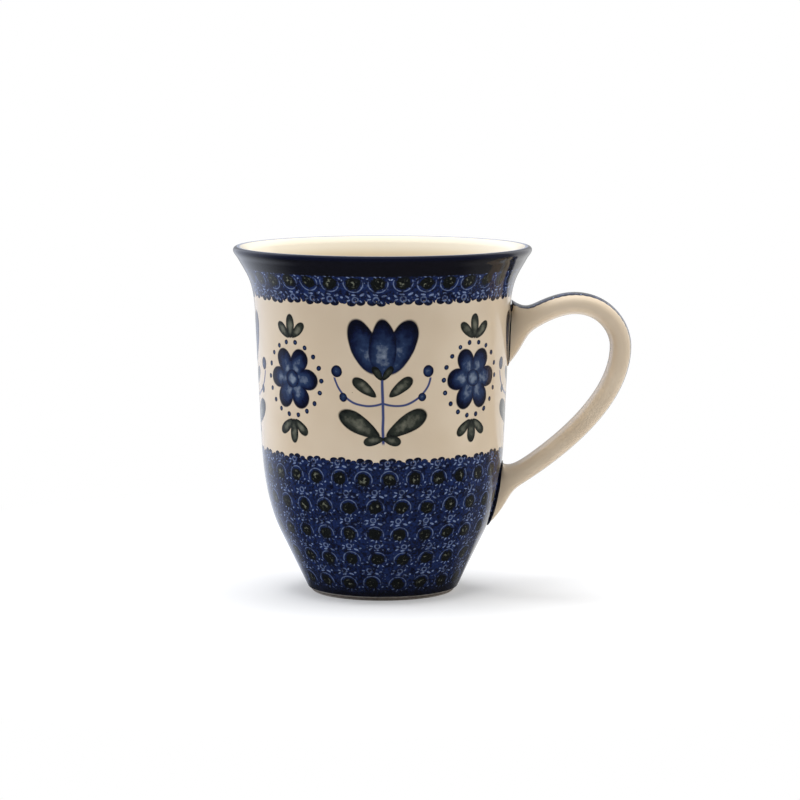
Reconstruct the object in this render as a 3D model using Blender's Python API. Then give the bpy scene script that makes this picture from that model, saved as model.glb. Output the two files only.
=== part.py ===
"""Stoneware mug: a flared, jiggered pot with a pressed strap handle luted on with slip.

The pot is turned about Z, its foot stands on Z = 0, and the handle lies in the XZ plane on the +X side.
"""
import math

import bmesh
import bpy
from mathutils import Vector
from mathutils.geometry import interpolate_bezier

# Pot, outside (metres)
HEIGHT = 0.1200
RIM_RADIUS = 0.0516
LIP_TOP_RADIUS = 0.0499
LIP_WIDEST_Z = 0.1187
FLARE_RADIUS = 0.0500
FLARE_Z = 0.1159
FLARE_LEAN = math.radians(60.7)
WALL_TOP_RADIUS = 0.0441
WALL_TOP_Z = 0.0964
WALL_LOW_RADIUS = 0.0421
WALL_LOW_Z = 0.0532
CONE_RADIUS = 0.0356
CONE_Z = 0.0210
GLAZE_EDGE_RADIUS = 0.0261
GLAZE_EDGE_Z = 0.0015

# Lengths of the leads that shape the outline's curves
LIP_LEAD = 0.0009
FLARE_LEAD = 0.0075
WALL_TOP_LEAD = 0.0117
WALL_LOW_LEAD = 0.0136
CONE_LEAD = 0.0085
FLOOR_LEAD = 0.0085
FLOOR_RISE_LEAD = 0.0065

# Pot, foot and inside
FOOT_RADIUS = 0.0250
FOOT_STEP = 0.0004
FOOT_CHAMFER = 0.0005
FOOT_RING_WIDTH = 0.0046
BASE_HOLLOW = 0.0009
FLOOR_Z = 0.0070
FLOOR_RADIUS = 0.0150
LIP_THICKNESS = 0.0036
WALL_THICKNESS = 0.0042
CONE_THICKNESS = 0.0051

# Handle: a strap on a curve of three cubic arcs, flared where it meets the wall
CREST = (0.0666, 0.1000)
CREST_LEAD_IN = 0.0085
CREST_LEAD_OUT = 0.0102
BELLY = (0.0825, 0.0850)
BELLY_LEAD_IN = 0.0068
BELLY_LEAD_OUT = 0.0248
UPPER_LEAD = (0.0065, 0.0045)
LOWER_LEAD = (0.0080, 0.0047)
STRAP_UPPER_THICKNESS = 0.0077
STRAP_LOWER_THICKNESS = 0.0068
STRAP_WIDTH = 0.0150
BACK_ROUNDNESS = 3.4
FINGER_ROUNDNESS = 2.4
UPPER_ROOT_Z = 0.0885
LOWER_ROOT_Z = 0.0343
ROOT_DEPTH = 0.0020
ROOT_NARROWING = 0.0008
ROOT_TURN = 0.0053

# Flare of each root: half height on the wall, length of the collar, distance over which it fades
UPPER_OUTER_FLARE = (0.0092, 0.0048, 0.0038)
UPPER_INNER_FLARE = (0.0115, 0.0000, 0.0041)
LOWER_OUTER_FLARE = (0.0128, 0.0004, 0.0033)
LOWER_INNER_FLARE = (0.0092, 0.0000, 0.0064)

# Slip joints between the handle's roots and the wall
SLIP_THICKNESS = 0.0009
SLIP_SQUEEZE = 0.0008
SLIP_SHARE = 0.13
CLEARANCE = 0.0003

# Facets
TURNS = 72
LONG_CURVE = 7
SHORT_CURVE = 4
CENTRELINE_STEPS = 60
HANDLE_RINGS = 56
SLIP_RINGS = 5
SECTION_POINTS = 24
ROOT_CROWDING = 0.45

# Glaze colours: clear glaze over pale clay, and the cobalt line painted over each joint
CREAM = (0.62, 0.53, 0.42, 1.0)
COBALT = (0.015, 0.022, 0.075, 1.0)
GLAZE_ROUGHNESS = 0.12


def clear_scene():
    """Remove every object that the opened file holds."""
    for thing in list(bpy.data.objects):
        bpy.data.objects.remove(thing, do_unlink=True)


def glaze(name, colour):
    """A glossy glazed finish of one colour."""
    material = bpy.data.materials.new(name)
    material.use_nodes = True
    shader = material.node_tree.nodes["Principled BSDF"]
    shader.inputs["Base Color"].default_value = colour
    shader.inputs["Roughness"].default_value = GLAZE_ROUGHNESS
    shader.inputs["Metallic"].default_value = 0.0
    return material


def add_object(name, mesh, material=None):
    """Link a mesh to the scene as a sub-part; without a material it is a hidden cutter."""
    thing = bpy.data.objects.new(name, mesh)
    bpy.context.scene.collection.objects.link(thing)
    if material is None:
        thing.hide_render = True
        thing.display_type = "WIRE"
    else:
        mesh.materials.append(material)
    return thing


def curve(start, start_handle, end_handle, end, steps=LONG_CURVE):
    """Points of a cubic curve in the XZ plane, its first point left out."""
    knots = [Vector((x, 0.0, z)) for x, z in (start, start_handle, end_handle, end)]
    return [(point.x, point.z) for point in interpolate_bezier(*knots, steps + 1)[1:]]


def step_from(point, direction, distance):
    """The point at a distance from another one, along a direction."""
    length = math.hypot(*direction)
    return (point[0] + direction[0] / length * distance, point[1] + direction[1] / length * distance)


# Directions of the outside wall, all of them upwards
FLARE_WAY = (math.cos(FLARE_LEAN), math.sin(FLARE_LEAN))
WALL_WAY = (WALL_TOP_RADIUS - WALL_LOW_RADIUS, WALL_TOP_Z - WALL_LOW_Z)
CONE_WAY = (CONE_RADIUS - GLAZE_EDGE_RADIUS, CONE_Z - GLAZE_EDGE_Z)


def outside_outline():
    """The glazed outside, from the top of the lip down to the foot."""
    lip = (LIP_TOP_RADIUS, HEIGHT)
    widest = (RIM_RADIUS, LIP_WIDEST_Z)
    flare = (FLARE_RADIUS, FLARE_Z)
    wall_top = (WALL_TOP_RADIUS, WALL_TOP_Z)
    wall_low = (WALL_LOW_RADIUS, WALL_LOW_Z)
    cone = (CONE_RADIUS, CONE_Z)
    lip_out = step_from(lip, (1, 0), LIP_LEAD)
    widest_up = step_from(widest, (0, 1), LIP_LEAD)
    widest_down = step_from(widest, (0, -1), LIP_LEAD)
    flare_up = step_from(flare, FLARE_WAY, LIP_LEAD)
    flare_down = step_from(flare, FLARE_WAY, -FLARE_LEAD)
    wall_up = step_from(wall_top, WALL_WAY, WALL_TOP_LEAD)
    wall_down = step_from(wall_low, WALL_WAY, -WALL_LOW_LEAD)
    cone_up = step_from(cone, CONE_WAY, CONE_LEAD)
    points = [lip]
    points += curve(lip, lip_out, widest_up, widest, SHORT_CURVE)
    points += curve(widest, widest_down, flare_up, flare, SHORT_CURVE)
    points += curve(flare, flare_down, wall_up, wall_top)
    points.append(wall_low)
    points += curve(wall_low, wall_down, cone_up, cone)
    points.append((GLAZE_EDGE_RADIUS, GLAZE_EDGE_Z))
    return points


def foot_outline():
    """The bare foot ring and the shallow hollow inside it, from the glaze edge in to the axis."""
    ring_inside = FOOT_RADIUS - FOOT_RING_WIDTH
    return [
        (GLAZE_EDGE_RADIUS - FOOT_STEP, GLAZE_EDGE_Z - FOOT_STEP / 2),
        (FOOT_RADIUS, FOOT_CHAMFER),
        (FOOT_RADIUS - FOOT_CHAMFER, 0.0),
        (ring_inside, 0.0),
        (ring_inside - BASE_HOLLOW / 2, BASE_HOLLOW * 0.75),
        (ring_inside - BASE_HOLLOW * 2, BASE_HOLLOW),
        (0.0, BASE_HOLLOW),
    ]


def inside_outline():
    """The drinking space, from the middle of the floor up to the inner edge of the lip."""
    floor = (FLOOR_RADIUS, FLOOR_Z)
    cone = (CONE_RADIUS - CONE_THICKNESS, CONE_Z)
    wall_low = (WALL_LOW_RADIUS - WALL_THICKNESS, WALL_LOW_Z)
    wall_top = (WALL_TOP_RADIUS - WALL_THICKNESS, WALL_TOP_Z)
    flare = (FLARE_RADIUS - LIP_THICKNESS * FLARE_WAY[1], FLARE_Z + LIP_THICKNESS * FLARE_WAY[0])
    lip = (LIP_TOP_RADIUS, HEIGHT)
    floor_out = step_from(floor, (1, 0), FLOOR_LEAD)
    cone_down = step_from(cone, CONE_WAY, -FLOOR_RISE_LEAD)
    cone_up = step_from(cone, CONE_WAY, CONE_LEAD)
    wall_down = step_from(wall_low, WALL_WAY, -WALL_LOW_LEAD)
    wall_up = step_from(wall_top, WALL_WAY, WALL_TOP_LEAD)
    flare_down = step_from(flare, FLARE_WAY, -FLARE_LEAD)
    flare_up = step_from(flare, FLARE_WAY, LIP_LEAD)
    lip_in = step_from(lip, (-1, 0), LIP_LEAD)
    points = [(0.0, FLOOR_Z), floor]
    points += curve(floor, floor_out, cone_down, cone)
    points += curve(cone, cone_up, wall_down, wall_low)
    points.append(wall_top)
    points += curve(wall_top, wall_up, flare_down, flare)
    points += curve(flare, flare_up, lip_in, lip, SHORT_CURVE)
    return points[:-1]


def turn(name, outline, material=None, closed=False):
    """Turn an outline about Z with a Screw modifier; it runs down the outer side."""
    mesh = bpy.data.meshes.new(name)
    links = [(i, i + 1) for i in range(len(outline) - 1)]
    if closed:
        links.append((len(outline) - 1, 0))
    mesh.from_pydata([(radius, 0.0, z) for radius, z in outline], links, [])
    thing = add_object(name, mesh, material)
    screw = thing.modifiers.new("turn", "SCREW")
    screw.axis = "Z"
    screw.steps = TURNS
    screw.render_steps = TURNS
    screw.use_merge_vertices = True
    screw.merge_threshold = 0.00001
    screw.use_smooth_shade = True
    return thing


def grown(outline, distance):
    """An outline moved outwards from the axis."""
    return [(radius + distance, z) for radius, z in outline]


def wall_radius(height):
    """The outside radius of the pot at a height on its wall."""
    points = outside_outline()
    for (upper_radius, upper_z), (lower_radius, lower_z) in zip(points, points[1:]):
        if upper_z >= height > lower_z:
            share = (height - lower_z) / (upper_z - lower_z)
            return lower_radius + (upper_radius - lower_radius) * share
    return GLAZE_EDGE_RADIUS


def root_on_wall(middle_z, outer_flare, inner_flare):
    """Middle of a handle root on the wall, and the wall's upward direction there."""
    reach = min(outer_flare[0], inner_flare[0])
    low = Vector((wall_radius(middle_z - reach), 0.0, middle_z - reach))
    high = Vector((wall_radius(middle_z + reach), 0.0, middle_z + reach))
    return (low + high) / 2, (high - low).normalized()


UPPER_MIDDLE, UPPER_WAY = root_on_wall(UPPER_ROOT_Z, UPPER_OUTER_FLARE, UPPER_INNER_FLARE)
LOWER_MIDDLE, LOWER_WAY = root_on_wall(LOWER_ROOT_Z, LOWER_OUTER_FLARE, LOWER_INNER_FLARE)


def handle_centreline():
    """The strap's centreline from inside the wall, over the crest and down to inside the wall."""
    upper = (UPPER_MIDDLE.x - ROOT_DEPTH, UPPER_MIDDLE.z)
    lower = (LOWER_MIDDLE.x - ROOT_DEPTH, LOWER_MIDDLE.z)
    upper_lead = (upper[0] + UPPER_LEAD[0], upper[1] + UPPER_LEAD[1])
    lower_lead = (lower[0] + LOWER_LEAD[0], lower[1] + LOWER_LEAD[1])
    crest_in = (CREST[0] - CREST_LEAD_IN, CREST[1])
    crest_out = (CREST[0] + CREST_LEAD_OUT, CREST[1])
    belly_in = (BELLY[0], BELLY[1] + BELLY_LEAD_IN)
    belly_out = (BELLY[0], BELLY[1] - BELLY_LEAD_OUT)
    points = [upper]
    points += curve(upper, upper_lead, crest_in, CREST, CENTRELINE_STEPS)
    points += curve(CREST, crest_out, belly_in, BELLY, CENTRELINE_STEPS)
    points += curve(BELLY, belly_out, lower_lead, lower, CENTRELINE_STEPS)
    return [Vector((x, 0.0, z)) for x, z in points]


def fade(distance, collar, reach):
    """1 in the root and its collar, falling away along the strap."""
    return math.exp(-(max(distance - ROOT_DEPTH - collar, 0.0) / reach) ** 2)


def half_height(from_upper, from_lower, upper_flare, lower_flare):
    """Half the strap's thickness on one side: it thins downwards and swells at both roots."""
    share = from_upper / (from_upper + from_lower)
    half = (STRAP_UPPER_THICKNESS + (STRAP_LOWER_THICKNESS - STRAP_UPPER_THICKNESS) * share) / 2
    upper_root, upper_collar, upper_reach = upper_flare
    lower_root, lower_collar, lower_reach = lower_flare
    upper = (upper_root - half) * fade(from_upper, upper_collar, upper_reach)
    lower = (lower_root - half) * fade(from_lower, lower_collar, lower_reach)
    return half + upper + lower


def handle_section(centre, along, from_upper, from_lower, grow):
    """One ring of the strap: flat-backed, round on the finger side, turned to lie on the wall at the roots."""
    outer = half_height(from_upper, from_lower, UPPER_OUTER_FLARE, LOWER_OUTER_FLARE) + grow
    inner = half_height(from_upper, from_lower, UPPER_INNER_FLARE, LOWER_INNER_FLARE) + grow
    upper_turn = fade(from_upper, 0.0, ROOT_TURN)
    lower_turn = fade(from_lower, 0.0, ROOT_TURN)
    half_width = STRAP_WIDTH / 2 - ROOT_NARROWING * (upper_turn + lower_turn) + grow
    across = Vector((-along.z, 0.0, along.x)) * (1 - upper_turn) * (1 - lower_turn)
    across = (across + UPPER_WAY * upper_turn - LOWER_WAY * lower_turn).normalized()
    ring = []
    for i in range(SECTION_POINTS):
        angle = 2 * math.pi * i / SECTION_POINTS
        power = 2 / (BACK_ROUNDNESS if math.sin(angle) > 0 else FINGER_ROUNDNESS)
        side = math.copysign(abs(math.cos(angle)) ** power, math.cos(angle))
        rise = math.copysign(abs(math.sin(angle)) ** power, math.sin(angle))
        height = rise * (outer if rise > 0 else inner)
        ring.append(centre + Vector((0.0, side * half_width, 0.0)) + across * height)
    return ring


def handle_rings(first=0.0, last=1.0, rings=HANDLE_RINGS, grow=0.0):
    """Rings of the strap between two shares of its length, closer together towards the roots."""
    points = handle_centreline()
    reached = [0.0]
    for a, b in zip(points, points[1:]):
        reached.append(reached[-1] + (b - a).length)
    length = reached[-1]
    found = []
    for i in range(rings):
        share = first + (last - first) * i / (rings - 1)
        crowded = 0.5 - 0.5 * math.cos(math.pi * share)
        target = (share + (crowded - share) * ROOT_CROWDING) * length
        k = max(j for j in range(len(points) - 1) if reached[j] <= target)
        along = (points[k + 1] - points[k]).normalized()
        centre = points[k] + along * (target - reached[k])
        found.append(handle_section(centre, along, target, length - target, grow))
    return found


def loft(name, rings):
    """Skin a row of rings and close both ends."""
    shell = bmesh.new()
    rows = [[shell.verts.new(point) for point in ring] for ring in rings]
    count = len(rows[0])
    for row, following in zip(rows, rows[1:]):
        for i in range(count):
            j = (i + 1) % count
            shell.faces.new((row[i], row[j], following[j], following[i]))
    shell.faces.new(list(reversed(rows[0])))
    shell.faces.new(rows[-1])
    bmesh.ops.recalc_face_normals(shell, faces=shell.faces)
    mesh = bpy.data.meshes.new(name)
    shell.to_mesh(mesh)
    shell.free()
    mesh.shade_smooth()
    return mesh


def cut(thing, operation, cutter):
    """Keep an exact Boolean on a sub-part."""
    boolean = thing.modifiers.new(operation.lower(), "BOOLEAN")
    boolean.operation = operation
    boolean.object = cutter
    boolean.solver = "EXACT"


def make_pot(material):
    """The pot in one turned outline: inside, over the lip, down the outside and in under the foot."""
    return turn("mug_body", inside_outline() + outside_outline() + foot_outline(), material)


def make_handle(material):
    """The strap handle, its roots cut to the wall's curve with room for the slip."""
    room = SLIP_THICKNESS + 2 * CLEARANCE
    plug = [(0.0, HEIGHT)] + grown(outside_outline(), room) + [(0.0, GLAZE_EDGE_Z)]
    wall = turn("handle_cutter", plug)
    handle = add_object("handle", loft("handle", handle_rings()), material)
    cut(handle, "DIFFERENCE", wall)
    return handle


def make_slip_joints(material):
    """A skin of slip on the wall under each root, squeezed out a little past the handle."""
    outside = outside_outline()[1:]
    sleeve = grown(outside, CLEARANCE + SLIP_THICKNESS) + grown(outside, CLEARANCE)[::-1]
    band = turn("slip_cutter", sleeve, closed=True)
    ends = {"upper_slip_joint": (0.0, SLIP_SHARE), "lower_slip_joint": (1.0 - SLIP_SHARE, 1.0)}
    for name, (first, last) in ends.items():
        swollen_root = loft(name, handle_rings(first, last, SLIP_RINGS, SLIP_SQUEEZE))
        pad = add_object(name, swollen_root, material)
        cut(pad, "INTERSECT", band)


clear_scene()
make_pot(glaze("cream_glaze_pot", CREAM))
make_handle(glaze("cream_glaze_handle", CREAM))
make_slip_joints(glaze("cobalt_joint", COBALT))
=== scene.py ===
# %% [markdown]
# # A glazed stoneware mug
# This lesson dresses a plain model of a folk-pottery mug. The model is loaded first and gives the frame:
# where the pot stands, where the handle meets it, and how large everything is. The lesson then makes finer
# pieces in the same places and paints them, without moving or resizing anything.

# %% Load the frame
import math

import bmesh
import bpy
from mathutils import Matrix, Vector
from mathutils.bvhtree import BVHTree
from mathutils.geometry import interpolate_bezier


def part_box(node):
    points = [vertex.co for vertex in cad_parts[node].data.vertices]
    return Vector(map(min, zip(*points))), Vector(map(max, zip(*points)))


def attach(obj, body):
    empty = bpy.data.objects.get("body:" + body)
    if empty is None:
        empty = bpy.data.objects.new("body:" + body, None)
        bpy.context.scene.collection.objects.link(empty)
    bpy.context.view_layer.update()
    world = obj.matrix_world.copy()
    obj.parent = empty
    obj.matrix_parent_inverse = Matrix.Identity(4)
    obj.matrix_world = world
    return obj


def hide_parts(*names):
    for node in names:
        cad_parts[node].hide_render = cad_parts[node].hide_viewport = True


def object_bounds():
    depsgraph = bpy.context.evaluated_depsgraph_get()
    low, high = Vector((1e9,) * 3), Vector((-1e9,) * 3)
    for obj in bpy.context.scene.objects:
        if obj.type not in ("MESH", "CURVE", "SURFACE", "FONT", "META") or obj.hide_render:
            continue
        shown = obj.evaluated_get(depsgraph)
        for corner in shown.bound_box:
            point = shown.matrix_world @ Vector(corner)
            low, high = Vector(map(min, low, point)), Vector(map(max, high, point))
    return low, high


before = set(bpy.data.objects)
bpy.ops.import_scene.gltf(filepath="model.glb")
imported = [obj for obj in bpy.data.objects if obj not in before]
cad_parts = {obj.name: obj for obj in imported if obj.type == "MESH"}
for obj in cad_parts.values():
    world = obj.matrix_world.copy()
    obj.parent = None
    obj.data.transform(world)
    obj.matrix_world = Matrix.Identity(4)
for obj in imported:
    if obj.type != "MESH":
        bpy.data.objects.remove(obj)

MM = 1000.0
CAD_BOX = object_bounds()
print("nodes in the frame:", ", ".join(sorted(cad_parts)))
print("size in mm:", [round(MM * (high - low), 1) for low, high in zip(*CAD_BOX)])

# %% [markdown]
# ## Formulas as nodes
# Both the shapes and the painted patterns below follow rules, and a rule in Blender is a chain of Math
# nodes. Placing those by hand is slow to read, so a small class stands for "a number that nodes work out".
# Adding two of them makes an Add node, and so on. The Math node is the same in Geometry Nodes and in
# shaders, so one class serves both.

# %% A number worked out by nodes
def arithmetic(operation, swapped=False):
    """A method that makes a Math node of a field and another value, in that order or swapped."""

    def method(self, other):
        values = (other, self) if swapped else (self, other)
        return calculate(self.tree, operation, *values)

    return method


class Field:
    """A number worked out by nodes, so that a formula reads as ordinary arithmetic."""

    def __init__(self, socket):
        self.socket = socket
        self.tree = socket.id_data

    __add__, __radd__ = arithmetic("ADD"), arithmetic("ADD", swapped=True)
    __sub__, __rsub__ = arithmetic("SUBTRACT"), arithmetic("SUBTRACT", swapped=True)
    __mul__, __rmul__ = arithmetic("MULTIPLY"), arithmetic("MULTIPLY", swapped=True)
    __truediv__, __rtruediv__ = arithmetic("DIVIDE"), arithmetic("DIVIDE", swapped=True)
    __pow__ = arithmetic("POWER")
    __gt__, __lt__ = arithmetic("GREATER_THAN"), arithmetic("LESS_THAN")

    def __abs__(self):
        return calculate(self.tree, "ABSOLUTE", self)

    def apply(self, operation):
        """A one-sided Math node, such as SINE, FLOOR or FRACT."""
        return calculate(self.tree, operation, self)


def connect(value, slot):
    """Link a field or a socket to an input, or set the input to a plain value."""
    if isinstance(value, Field):
        value = value.socket
    if isinstance(value, bpy.types.NodeSocket):
        slot.id_data.links.new(value, slot)
    else:
        slot.default_value = value


def calculate(tree, operation, *values):
    """A Math node on these values."""
    node = tree.nodes.new("ShaderNodeMath")
    node.operation = operation
    for value, slot in zip(values, node.inputs):
        connect(value, slot)
    return Field(node.outputs[0])


def largest(first, *others):
    """The largest of some fields."""
    for other in others:
        first = calculate(first.tree, "MAXIMUM", first, other)
    return first


def smallest(first, *others):
    """The smallest of some fields."""
    for other in others:
        first = calculate(first.tree, "MINIMUM", first, other)
    return first


def blended(first, second, share):
    """A step from one number to another by a share between 0 and 1."""
    return first + (second - first) * share


def length_of(x, y):
    """Length of a flat vector."""
    return (x * x + y * y) ** 0.5


def ramp(field, low, high):
    """0 below low, 1 above high, and an S-curve between; high may be the smaller one."""
    node = field.tree.nodes.new("ShaderNodeMapRange")
    node.interpolation_type = "SMOOTHSTEP"
    ends = (1.0, 0.0) if high < low else (0.0, 1.0)
    for value, slot in zip((field, min(low, high), max(low, high), *ends), node.inputs):
        connect(value, slot)
    return Field(node.outputs[0])


def vector(x, y, z):
    """A Combine XYZ node; at least one of the three is a field."""
    tree = next(part.tree for part in (x, y, z) if isinstance(part, Field))
    node = tree.nodes.new("ShaderNodeCombineXYZ")
    for value, slot in zip((x, y, z), node.inputs):
        connect(value, slot)
    return node.outputs[0]


def parts_of(socket):
    """The three fields of a vector socket."""
    node = socket.id_data.nodes.new("ShaderNodeSeparateXYZ")
    socket.id_data.links.new(socket, node.inputs[0])
    return [Field(output) for output in node.outputs]


print("formulas can be written as nodes")

# %% [markdown]
# ## Trees with named inputs
# A Geometry Nodes tree is a recipe, and its inputs are the sizes that a maker would change. Each recipe
# below reads a drawn curve, lays a flat grid of points over it and moves the points into place. The
# result is read back as a plain mesh, because other programs know nothing of node trees.

# %% Helpers for the trees
SOCKET_KINDS = {
    float: "NodeSocketFloat",
    int: "NodeSocketInt",
    Vector: "NodeSocketVector",
    bpy.types.Object: "NodeSocketObject",
    bpy.types.Material: "NodeSocketMaterial",
}


def new_tree(name, settings):
    """A Geometry Nodes tree with one named input for each setting."""
    tree = bpy.data.node_groups.new(name, "GeometryNodeTree")
    tree.interface.new_socket(name="Geometry", in_out="INPUT", socket_type="NodeSocketGeometry")
    tree.interface.new_socket(name="Geometry", in_out="OUTPUT", socket_type="NodeSocketGeometry")
    for label, value in settings.items():
        tree.interface.new_socket(name=label, in_out="INPUT", socket_type=SOCKET_KINDS[type(value)])
    inputs = tree.nodes.new("NodeGroupInput")
    return tree, inputs.outputs


def add(tree, kind, values, **settings):
    """A node of a kind, with its settings and the values of its named inputs."""
    node = tree.nodes.new(kind)
    for name, value in settings.items():
        setattr(node, name, value)
    for name, value in values.items():
        slots = [slot for slot in node.inputs if slot.name == name]
        connect(value, next((slot for slot in slots if slot.enabled), slots[0]))
    return node


def sampled(tree, geometry, value, index, kind):
    """What a point of some geometry holds, looked up by its number."""
    values = {"Geometry": geometry, "Value": value, "Index": index}
    return add(tree, "GeometryNodeSampleIndex", values, data_type=kind).outputs[0]


def flat_grid(tree, columns, rows):
    """A flat grid, and the share of the way that each of its points lies along it and across it."""
    sizes = {"Size X": 1.0, "Size Y": 1.0, "Vertices X": columns, "Vertices Y": rows}
    grid = add(tree, "GeometryNodeMeshGrid", sizes)
    x, y, _ = parts_of(tree.nodes.new("GeometryNodeInputPosition").outputs[0])
    return grid.outputs[0], x + 0.5, y + 0.5


def store_map(tree, mesh, name, across, along):
    """Keep two numbers on each face corner as a UV map."""
    values = {"Geometry": mesh, "Name": name, "Value": vector(across, along, 0.0)}
    kept = add(tree, "GeometryNodeStoreNamedAttribute", values, data_type="FLOAT2", domain="CORNER")
    return kept.outputs[0]


WELD = 0.00001


def finish_tree(tree, mesh, places, inputs):
    """Move the grid into place, close its seams and poles, realize instances and set the material."""
    moved = add(tree, "GeometryNodeSetPosition", {"Geometry": mesh, "Position": places})
    welded = add(tree, "GeometryNodeMergeByDistance", {"Geometry": moved.outputs[0], "Distance": WELD})
    smooth = add(tree, "GeometryNodeSetShadeSmooth", {"Geometry": welded.outputs[0]})
    real = add(tree, "GeometryNodeRealizeInstances", {"Geometry": smooth.outputs[0]})
    finish = {"Geometry": real.outputs[0], "Material": inputs["Finish"]}
    painted = add(tree, "GeometryNodeSetMaterial", finish)
    output = tree.nodes.new("NodeGroupOutput")
    tree.links.new(painted.outputs[0], output.inputs[0])
    return tree


print("trees can be built")

# %% Growing a mesh and drawing a curve
def new_object(name, data):
    """An object in the scene that holds some data."""
    thing = bpy.data.objects.new(name, data)
    bpy.context.scene.collection.objects.link(thing)
    return thing


SHARP_EDGE = math.radians(40)


def grow(name, tree, settings):
    """Run a tree on an empty mesh and keep what it makes as a plain mesh object."""
    thing = new_object(name, bpy.data.meshes.new(name))
    modifier = thing.modifiers.new("recipe", "NODES")
    modifier.node_group = tree
    for item in tree.interface.items_tree:
        if item.in_out == "INPUT" and item.name in settings:
            modifier[item.identifier] = settings[item.name]
    seen = bpy.context.evaluated_depsgraph_get()
    mesh = bpy.data.meshes.new_from_object(thing.evaluated_get(seen))
    thing.modifiers.remove(modifier)
    thing.data = mesh
    mesh.name = name
    shell = bmesh.new()
    shell.from_mesh(mesh)
    volume = shell.calc_volume(signed=True)
    open_edges = sum(not edge.is_manifold for edge in shell.edges)
    shell.free()
    if volume < 0:
        mesh.flip_normals()
    mesh.set_sharp_from_angle(angle=SHARP_EDGE)
    print(f"{name}: {len(mesh.polygons)} faces, {1e6 * abs(volume):.2f} cm3, {open_edges} open edges")
    return thing


def draw_curve(name, knots, steps):
    """A Bezier curve in the XZ plane. A knot is its place, its direction and its two lead lengths."""
    data = bpy.data.curves.new(name, "CURVE")
    data.dimensions = "3D"
    data.resolution_u = steps
    spline = data.splines.new("BEZIER")
    spline.bezier_points.add(len(knots) - 1)
    for point, (place, way, lead_in, lead_out) in zip(spline.bezier_points, knots):
        middle = Vector((place[0], 0.0, place[1]))
        towards = Vector((way[0], 0.0, way[1])).normalized()
        point.handle_left_type = point.handle_right_type = "FREE"
        point.co = middle
        point.handle_left = middle - towards * lead_in
        point.handle_right = middle + towards * lead_out
    return new_object(name, data)


def outline_points(curve, first, last):
    """Points along a drawn curve between two of its knots."""
    knots = curve.data.splines[0].bezier_points
    found = []
    for a, b in zip(knots[first:last], knots[first + 1:last + 1]):
        count = curve.data.resolution_u + 1
        found += interpolate_bezier(a.co, a.handle_right, b.handle_left, b.co, count)
    return found


def run_length(curve, last):
    """Length of a drawn curve from its start to one of its knots."""
    points = outline_points(curve, 0, last)
    return sum((b - a).length for a, b in zip(points, points[1:]))


print("trees can be grown into meshes, and curves drawn for them")

# %% [markdown]
# ## The pot's outline
# A jiggered pot is pressed against a turning mould by a profile, so its whole shape is one outline. It
# starts in the middle of the floor, climbs the inside, goes over the rolled lip, falls down the flared
# wall and the drawn-in base, and ends under the foot. A Bezier curve with few knots gives it clean
# curves; straight stretches have knots with no leads.

# %% Draw the outline
HEIGHT = CAD_BOX[1].z
RIM_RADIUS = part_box("mug_body")[1].x
LIP_TOP = (0.0499, HEIGHT)
LIP_WIDEST = (RIM_RADIUS, 0.1187)
FLARE = (0.0500, 0.1159)
FLARE_LEAN = math.radians(60.7)
WALL_TOP = (0.0441, 0.0964)
WALL_LOW = (0.0421, 0.0532)
CONE = (0.0356, 0.0210)
GLAZE_EDGE = (0.0261, 0.0015)
LIP_LEAD, FLARE_LEAD, CONE_LEAD = 0.0009, 0.0075, 0.0085
WALL_TOP_LEAD, WALL_LOW_LEAD = 0.0117, 0.0136

FLOOR = (0.0150, 0.0070)
FLOOR_LEAD, FLOOR_RISE_LEAD = 0.0085, 0.0065
LIP_THICKNESS, WALL_THICKNESS, CONE_THICKNESS = 0.0036, 0.0042, 0.0051

FOOT_RADIUS, FOOT_RING_WIDTH, BASE_HOLLOW = 0.0250, 0.0046, 0.0009
FOOT_STEP, FOOT_CHAMFER = 0.0004, 0.0005
OUTLINE_STEPS = 12

FLARE_WAY = (math.cos(FLARE_LEAN), math.sin(FLARE_LEAN))
WALL_WAY = (WALL_TOP[0] - WALL_LOW[0], WALL_TOP[1] - WALL_LOW[1])
CONE_WAY = (CONE[0] - GLAZE_EDGE[0], CONE[1] - GLAZE_EDGE[1])


def down(way):
    """The other way along a direction."""
    return (-way[0], -way[1])


def corner(radius, height):
    """A knot with no leads, where two straight stretches meet."""
    return ((radius, height), (1, 0), 0.0, 0.0)


def inset(place, thickness):
    """The inside of the wall across from a place on its outside."""
    return (place[0] - thickness, place[1])


INNER_FLARE = (FLARE[0] - LIP_THICKNESS * FLARE_WAY[1], FLARE[1] + LIP_THICKNESS * FLARE_WAY[0])
INSIDE = [
    corner(0.0, FLOOR[1]),
    (FLOOR, (1, 0), 0.0, FLOOR_LEAD),
    (inset(CONE, CONE_THICKNESS), CONE_WAY, FLOOR_RISE_LEAD, CONE_LEAD),
    (inset(WALL_LOW, WALL_THICKNESS), WALL_WAY, WALL_LOW_LEAD, 0.0),
    (inset(WALL_TOP, WALL_THICKNESS), WALL_WAY, 0.0, WALL_TOP_LEAD),
    (INNER_FLARE, FLARE_WAY, FLARE_LEAD, LIP_LEAD),
]
OUTSIDE = [
    (LIP_TOP, (1, 0), LIP_LEAD, LIP_LEAD),
    (LIP_WIDEST, (0, -1), LIP_LEAD, LIP_LEAD),
    (FLARE, down(FLARE_WAY), LIP_LEAD, FLARE_LEAD),
    (WALL_TOP, down(WALL_WAY), WALL_TOP_LEAD, 0.0),
    (WALL_LOW, down(WALL_WAY), 0.0, WALL_LOW_LEAD),
    (CONE, down(CONE_WAY), CONE_LEAD, 0.0),
]
RING_INSIDE = FOOT_RADIUS - FOOT_RING_WIDTH
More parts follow.
